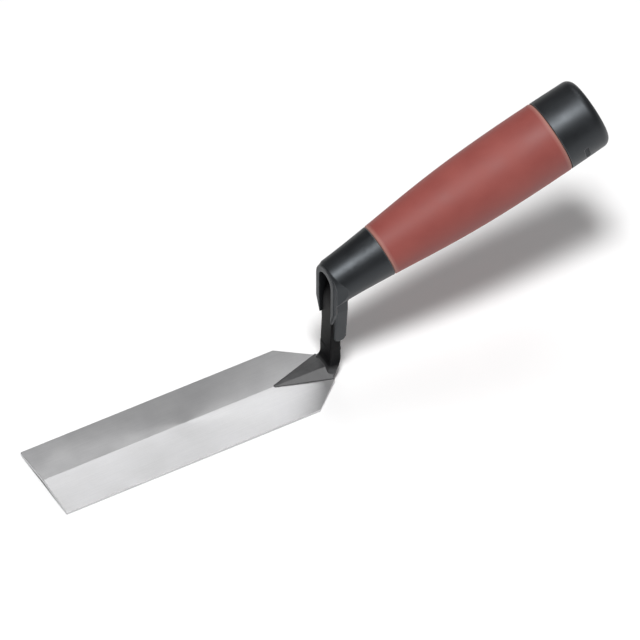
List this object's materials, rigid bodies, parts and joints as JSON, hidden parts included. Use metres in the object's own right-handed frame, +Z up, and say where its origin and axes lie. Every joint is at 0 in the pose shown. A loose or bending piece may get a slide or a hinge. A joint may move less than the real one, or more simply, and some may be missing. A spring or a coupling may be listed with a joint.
{
  "type": "margin trowel",
  "caption": "Narrow flat steel blade with a shallow lengthwise crease, a cranked forged shank and a moulded handle with a soft grip and finger guard.",
  "frame": {"origin": "centre of the bounding box's bottom face, on the ground under the blade's outer edges", "axes": "+X from the blade's tip to the handle's end, +Z up, the XZ plane is the plane of mirror symmetry"},
  "size_m": [0.2512, 0.038, 0.0993],
  "materials": {
    "blade_steel": "ground, satin",
    "forged_steel": "dark, semi-gloss",
    "hard_plastic": "moulded, semi-matte",
    "soft_grip": "soft-touch, matte"
  },
  "bodies": {
    "root": {"blade": "blade_steel", "shank": "forged_steel", "handle_core": "hard_plastic", "grip_sleeve": "soft_grip", "end_cap": "hard_plastic"}
  },
  "joints": []
}
